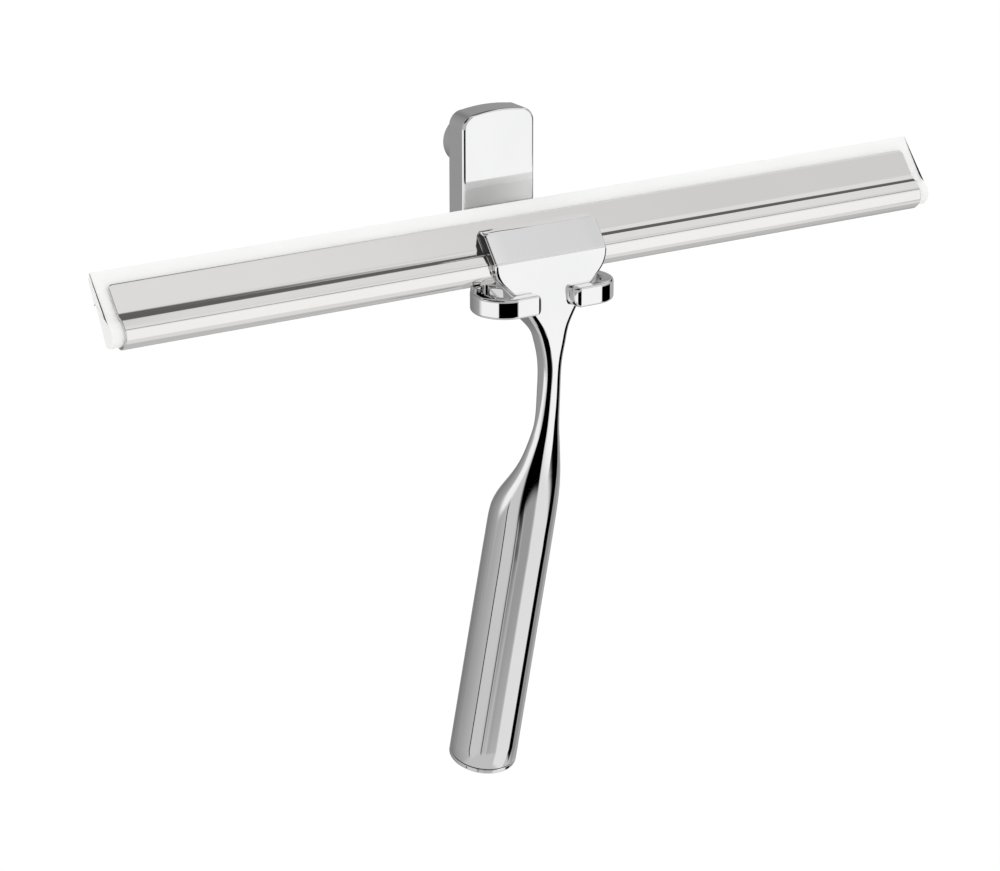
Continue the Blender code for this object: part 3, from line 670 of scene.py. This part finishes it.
axis_end_z = cap_low[2] + (GRIP_RADIUS - 0.0005) * math.sin(GRIP_LEAN)
axis_end_y = fold_y + GRIP_SETBACK
axis_slope = math.tan(GRIP_LEAN)
end_drop = fold_z - axis_end_z


def axis_y(z):
    return axis_end_y - (z - axis_end_z) * axis_slope


# Below the last station the casting is a plain round grip that thickens a little to its end.
grip_drops = np.linspace(0.121, end_drop - 0.0070, 13)
grip_radius = np.interp(grip_drops, (0.114, end_drop), (GRIP_TOP_RADIUS, GRIP_RADIUS))
grip_depth = grip_radius / math.cos(GRIP_LEAN)
grip_middle = axis_y(fold_z - grip_drops) - fold_y
places = np.concatenate((STATIONS[:, 0], grip_drops))
half_line = np.concatenate((STATIONS[:, 1], grip_radius))
front_line = np.concatenate((STATIONS[:, 2], grip_middle - grip_depth))
back_line = np.concatenate((STATIONS[:, 3], grip_middle + grip_depth))
front_round = np.concatenate((STATIONS[:, 4], grip_depth))
back_round = np.concatenate((STATIONS[:, 5], grip_depth))

head_height = top_z - fold_z
drops = np.concatenate(
    (
        -head_height + np.array((0.00002, 0.0001, 0.0003, 0.0006, 0.0010, 0.0014, 0.0018)),
        -head_height + np.linspace(0.0022, head_height - 0.0008, 26),
        np.linspace(-0.0007, 0.0009, 15),
        np.linspace(0.0012, fold_z - rail_low - 0.00001, 22),
    )
)
lower_drops = np.concatenate(
    (
        fold_z - rail_low + np.linspace(0.00001, FOOT_HEIGHT - 0.0008, 20),
        foot_drop + np.linspace(-0.0006, 0.0, 6),
        np.linspace(foot_drop + 0.0001, foot_drop + 0.0046, 14),
        np.linspace(foot_drop + 0.0050, 0.121, 190),
        grip_drops[1:],
    )
)


def corner_blend(at, slope_before, slope_after, reach):
    """A line that changes slope at nought, on a short parabola."""
    bend = (np.clip(at, -reach, reach) + reach) ** 2 * (slope_after - slope_before) / (4 * reach)
    return slope_before * at + bend + (slope_after - slope_before) * np.maximum(at - reach, 0)


facet_slope = (top_y - fold_y) / head_height
upper_front = fold_y + corner_blend(drops, -facet_slope, 0.0, 0.0005)
lead_places = np.array((0.0, 0.004, 0.010, 0.018, *places))
lead_line = np.array((0.0, -0.0001, -0.0005, -0.0012, *front_line))
upper_front = np.where(drops > 0.0005, fold_y + spline(lead_places, lead_line, drops), upper_front)
skin_up = skin[:lowest]
order = np.argsort(skin_up[:, 1])
upper_front = upper_front + FOLD_GROOVE * np.exp(-(((drops + 0.0003) / 0.00025) ** 2))
upper_back = np.interp(fold_z - drops, skin_up[order, 1], skin_up[order, 0])
upper_half = np.interp(np.maximum(drops, 0), side_path[:, 0], side_path[:, 1])
down_from_top = drops + head_height
upper_half = upper_half - 0.0011 * np.clip(1 - down_from_top / 0.0012, 0, 1) ** 2
lower_front = fold_y + spline(lead_places, lead_line, lower_drops)
# The back falls in from the foot to the neck between these two places.
NECK_DROP = 0.0295
NECK_BACK = 0.0061
FOOT_EASE = 0.0010
share = np.clip((lower_drops - foot_drop + FOOT_EASE) / (NECK_DROP - foot_drop + FOOT_EASE), 0, 1)
foot_rise = foot_back - fold_y - NECK_BACK
tail = spline((NECK_DROP, *places[1:]), (NECK_BACK, *back_line[1:]), np.maximum(lower_drops, NECK_DROP))
lower_back = fold_y + tail + foot_rise * (1 - share * share * (3 - 2 * share))
flare_places = np.array((0.0130, 0.0150, 0.0170, 0.0190, 0.0210, 0.0230))
flare_half = np.interp(flare_places, side_path[:, 0], side_path[:, 1])
lower_half = spline((*flare_places, *places), (*flare_half, *half_line), lower_drops)
flare_side = np.interp(lower_drops, side_path[:, 0], side_path[:, 1])
lower_half = np.where(lower_drops < flare_places[2], flare_side, lower_half)
every_drop = np.concatenate((drops, lower_drops))
front = np.concatenate((upper_front, lower_front))
back = np.concatenate((upper_back, lower_back))
half = np.concatenate((upper_half, lower_half))
crown = spline(
    (-0.0100, 0.0040, 0.0100, 0.0180, 0.0300, 0.0440, 0.0580, 0.0720, 0.0860, 0.1000, 0.1210, 0.2200),
    (0.0010, 0.0013, 0.0021, 0.0028, 0.0030, 0.0030, 0.0034, 0.0056, 0.0096, 0.0130, 0.0140, 0.0140),
    every_drop,
)
front_depth = spline(
    (-0.0100, 0.0040, 0.0120, 0.0190, *places),
    (0.0010, 0.0011, 0.0014, 0.0018, *front_round),
    every_drop,
)
back_depth = spline(
    (-0.0100, 0.0120, 0.0190, *places),
    (0.0008, 0.0010, 0.0015, *back_round),
    every_drop,
)


def cast_rings(half, front, back, crown, front_depth, back_depth, steps=14):
    """Sections of the casting: a front crowned by two quarter ellipses, a back with rounded
    corners, and flat sides between; every section has the same count of points."""
    half, front, back = half[:, None], front[:, None], back[:, None]
    wide = np.minimum(crown[:, None], half * 0.996)
    deep = np.minimum(front_depth[:, None], (back - front) * 0.5)
    rear_deep = np.minimum(back_depth[:, None], (back - front) * 0.5)
    rear_wide = np.minimum(rear_deep, half * 0.996)
    turn = np.linspace(0, math.pi / 2, steps + 1)[None]
    flat = np.linspace(1, -1, 9)[None, 1:-1]
    level = np.ones_like(flat)
    front_x = half - wide + wide * np.sin(turn)
    front_y = front + deep - deep * np.cos(turn)
    rear_x = half - rear_wide + rear_wide * np.cos(turn)
    rear_y = back - rear_deep + rear_deep * np.sin(turn)
    rear_flat = (half - rear_wide) * flat
    front_flat = -(half - wide) * flat
    x = (front_x, rear_x, rear_flat, -rear_x[:, ::-1], -front_x[:, ::-1], front_flat)
    y = (front_y, rear_y, back * level, rear_y[:, ::-1], front_y[:, ::-1], front * level)
    return np.concatenate(x, 1), np.concatenate(y, 1)


ring_x, ring_y = cast_rings(half, front, back, crown, front_depth, back_depth)
rings = np.stack((ring_x, ring_y, np.broadcast_to((fold_z - every_drop)[:, None], ring_x.shape)), -1)
end_z = axis_end_z + (CAP_THICK + GAP) * math.cos(GRIP_LEAN)
across = np.array([0.0, math.cos(GRIP_LEAN), math.sin(GRIP_LEAN)])
down_axis = np.array([0.0, math.sin(GRIP_LEAN), -math.cos(GRIP_LEAN)])
end_hub = np.array([0.0, axis_y(end_z), end_z])
last = rings[-1]
circle_x = last[:, :1]
circle_v = ((last - end_hub) @ across)[:, None]
circle_v = circle_v - circle_v.mean()
size = np.hypot(circle_x, circle_v)
circle = np.concatenate((circle_x / size, circle_v / size), 1)
# The open end and the bore: how far up the grip each circle is, and how far inside its skin.
END_CIRCLES = (
    (0.0004, 0.0),
    (0.0002, 0.00006),
    (0.0001, 0.00014),
    (0.0, 0.0003),
    (0.0, 0.0020),
    (0.010, 0.0021),
    (0.06, 0.0021),
    (0.085, 0.0021),
    (0.09, 0.006),
)
grip_rings = []
for back_up, shrink in END_CIRCLES:
    hub = end_hub - down_axis * back_up
    grip_rings.append(hub + (GRIP_RADIUS - shrink) * (circle[:, :1] * X + circle[:, 1:] * across))
rings = np.concatenate((rings, np.array(grip_rings)))
handle = surface("handle_casting", rings, CHROME, "squeegee")
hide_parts("handle")

# ---- end cap ------------------------------------------------------------------------------
# A turned cap, chromed, pushed into the grip's open end by a plain spigot.
cap_hub = np.array([0.0, axis_end_y, axis_end_z])
up_axis = -down_axis
CAP_ROUND = 0.0006
SPIGOT_LENGTH = 0.007
SPIGOT_RADIUS = GRIP_RADIUS - 0.0023
corners = [
    (0.0, POLE),
    (0.0, GRIP_RADIUS),
    (CAP_THICK, GRIP_RADIUS),
    (CAP_THICK, SPIGOT_RADIUS),
    (CAP_THICK + SPIGOT_LENGTH, SPIGOT_RADIUS),
    (CAP_THICK + SPIGOT_LENGTH, POLE),
]
profile = rounded_line(corners, (CAP_ROUND, 0.00025, 0.0002, 0.0004), 8)
cap = surface("grip_cap", turned(profile, cap_hub, up_axis, X, across), CHROME, "squeegee")
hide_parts("end_cap")

# ---- rear jaw -----------------------------------------------------------------------------
# A folded and chromed strap behind the rail, drawn against the head's foot by two screws. Its
# ledge rests on the ring's arms and carries the squeegee.
JAW_THICK = 0.0026
low, high = (np.array(corner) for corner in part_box("back_jaw"))
jaw_half = high[0]
TONGUE_HALF = 0.0165
wall_top = skin[-1]
wall_low = skin[-2]
run = (skin[-1] - skin[-3]) / np.linalg.norm(skin[-1] - skin[-3])
jaw_face = foot_back + GAP
jaw_top = wall_top - run * 0.0025
knee = wall_low + run * (jaw_face - wall_low[0]) / run[0]
line = rounded_line([jaw_top, knee, (jaw_face, low[2])], (0.0012,), 10)
JAW_STEP = 0.0008
pieces = []
for start, end in zip(line, line[1:]):
    count = max(2, int(np.linalg.norm(end - start) / JAW_STEP))
    pieces.append(np.linspace(start, end, count)[:-1])
line = np.concatenate([*pieces, line[-1:]])
step = np.gradient(line, axis=0)
step /= np.linalg.norm(step, axis=1, keepdims=True)
outward = np.stack((-step[:, 1], step[:, 0]), -1)
if outward[-1, 0] < 0:
    outward = -outward
SHELF_DROP = 0.0026
SHOULDER = 0.0012
above_shelf = line[:, 1] - (rail_low - SHELF_DROP)
near = np.clip((above_shelf + SHOULDER / 2) / SHOULDER, 0, 1)
width = TONGUE_HALF + (jaw_half - TONGUE_HALF) * near * near * (3 - 2 * near)
JAW_ROUND = 0.0005
section = rounded_rings(width, JAW_THICK / 2, JAW_ROUND, 5)
centre_line = line + outward * JAW_THICK / 2
rings = np.stack(
    (
        section[..., 0],
        centre_line[:, None, 0] + section[..., 1] * outward[:, None, 0],
        centre_line[:, None, 1] + section[..., 1] * outward[:, None, 1],
    ),
    -1,
)
jaw = surface("rear_jaw", rings, CHROME, "squeegee")
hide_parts("back_jaw")

# ---- studio -------------------------------------------------------------------------------
# A pale floor well below the holder, a long lens from the left and a little above, and a white
# room. Polished surfaces mirror soft-edged cards set round the object in place of the white.
LENS = 138.24
SENSOR = 36.0
VIEW_DISTANCE = 1.42325
camera_data = bpy.data.cameras.new("camera")
camera_data.lens = LENS
camera_data.sensor_width = SENSOR
camera_data.clip_end = 50.0
camera = bpy.data.objects.new("camera", camera_data)
bpy.context.scene.collection.objects.link(camera)
bpy.context.scene.camera = camera
aim = np.array([-0.009625, -0.04121, -0.10314])
AZIMUTH = math.radians(-32)
ELEVATION = math.radians(19)
back = np.array(
    [
        math.sin(AZIMUTH) * math.cos(ELEVATION),
        -math.cos(AZIMUTH) * math.cos(ELEVATION),
        math.sin(ELEVATION),
    ]
)
camera.location = aim + back * VIEW_DISTANCE
camera.rotation_euler = (math.pi / 2 - ELEVATION, 0.0, AZIMUTH)


class Studio(Finish):
    """The world's shader, built with the same node calls as a material."""

    def __init__(self, name):
        world = bpy.data.worlds.new(name)
        world.use_nodes = True
        self.world = world
        self.tree = world.node_tree
        self.shader = self.tree.nodes["Background"]

    def within(self, angle, low, high, blur):
        """1 between two angles and 0 outside them, with blurred edges."""
        smooth = {"interpolation_type": "SMOOTHSTEP"}
        rise = self.node("ShaderNodeMapRange", smooth, angle, low - blur, low + blur)
        fall = self.node("ShaderNodeMapRange", smooth, angle, high - blur, high + blur)
        return rise * (1 - fall)


# Each card: bearing from, to and blur, height from, to and blur (degrees), and its brightness.
# Bearing 0 faces the object's front and turns to its right; height 0 is level with it.
CARDS = (
    (-200, 200, 1, -95, -44, 4, 0.56),
    (-93, -57, 3, -46, -4, 3, 0.62),
    (-125, -40, 12, -23, -9, 3, 0.97),
    (-46, -32, 3, -45, -26, 4, 0.05),
    (-30, 8, 5, -50, -27, 3, 0.34),
    (-50, 19, 1.5, -40.5, -11, 1.2, 0.0),
    (12, 72, 2.5, -62, -25, 3, 0.80),
    (22, 46, 2, -36, 34, 3, 1.0),
    (22, 112, 5, 30, 78, 6, 0.82),
    (49, 60, 4, 38, 56, 4, 0.70),
    (108, 155, 4, 36, 70, 4, 0.12),
    (45, 150, 5, 61, 92, 2.5, 0.12),
    (20, 62, 2, 35.5, 38.5, 0.8, 0.15),
    (-130, -28, 5, 32, 78, 5, 0.03),
    (46, 92, 1.5, -35, -3, 2, 0.0),
    (71, 91, 1.5, -45, -30, 2, 0.0),
    (92, 112, 4, -40, -20, 4, 0.30),
    (-96, -93, 0.8, -42, -25, 2, 0.0),
    (-53, -49, 1, -48, -26, 2, 0.10),
)
WHITE = 1.04
studio = Studio("studio")
toward = studio.node("ShaderNodeTexCoord", output=0)
split = studio.tree.nodes.new("ShaderNodeSeparateXYZ")
studio.feed(split.inputs[0], toward)
east, north, height = (Link(studio, split.outputs[k]) for k in range(3))
bearing = studio.maths("ARCTAN2", east, 0 - north) * (180 / math.pi)
climb = studio.maths("ARCSINE", height) * (180 / math.pi)
sideways = studio.maths("ABSOLUTE", bearing)
level = studio.node("ShaderNodeMapRange", None, sideways, 95.0, 185.0, 0.50, 0.20)
for west, right, side_blur, bottom, top, top_blur, shine in CARDS:
    share = studio.within(bearing, west, right, side_blur) * studio.within(climb, bottom, top, top_blur)
    level = level + share * (shine - level)
ray = studio.tree.nodes.new("ShaderNodeLightPath")
glossy = Link(studio, ray.outputs["Is Glossy Ray"])
strength = WHITE + glossy * (level - WHITE)
studio.feed(studio.shader.inputs["Strength"], strength)
studio.shader.inputs["Color"].default_value = (1, 1, 1, 1)
bpy.context.scene.world = studio.world
bpy.context.scene.view_settings.view_transform = "Standard"

FLOOR_DROP = 0.9
FLOOR_HALF = 8.0
floor_corners = [(u * FLOOR_HALF, v * FLOOR_HALF) for u, v in ((-1, -1), (1, -1), (1, 1), (-1, 1))]
floor_mesh = bpy.data.meshes.new("floor")
floor_mesh.from_pydata([(x, y, -FLOOR_DROP) for x, y in floor_corners], [], [(0, 1, 2, 3)])
floor = bpy.data.objects.new("floor", floor_mesh)
bpy.context.scene.collection.objects.link(floor)
pale = Finish("pale_floor", (0.97, 0.97, 0.97), 0.0, 0.9)
pale.shader.inputs["Specular IOR Level"].default_value = 0.0
floor_mesh.materials.append(pale.material)
floor.visible_glossy = False
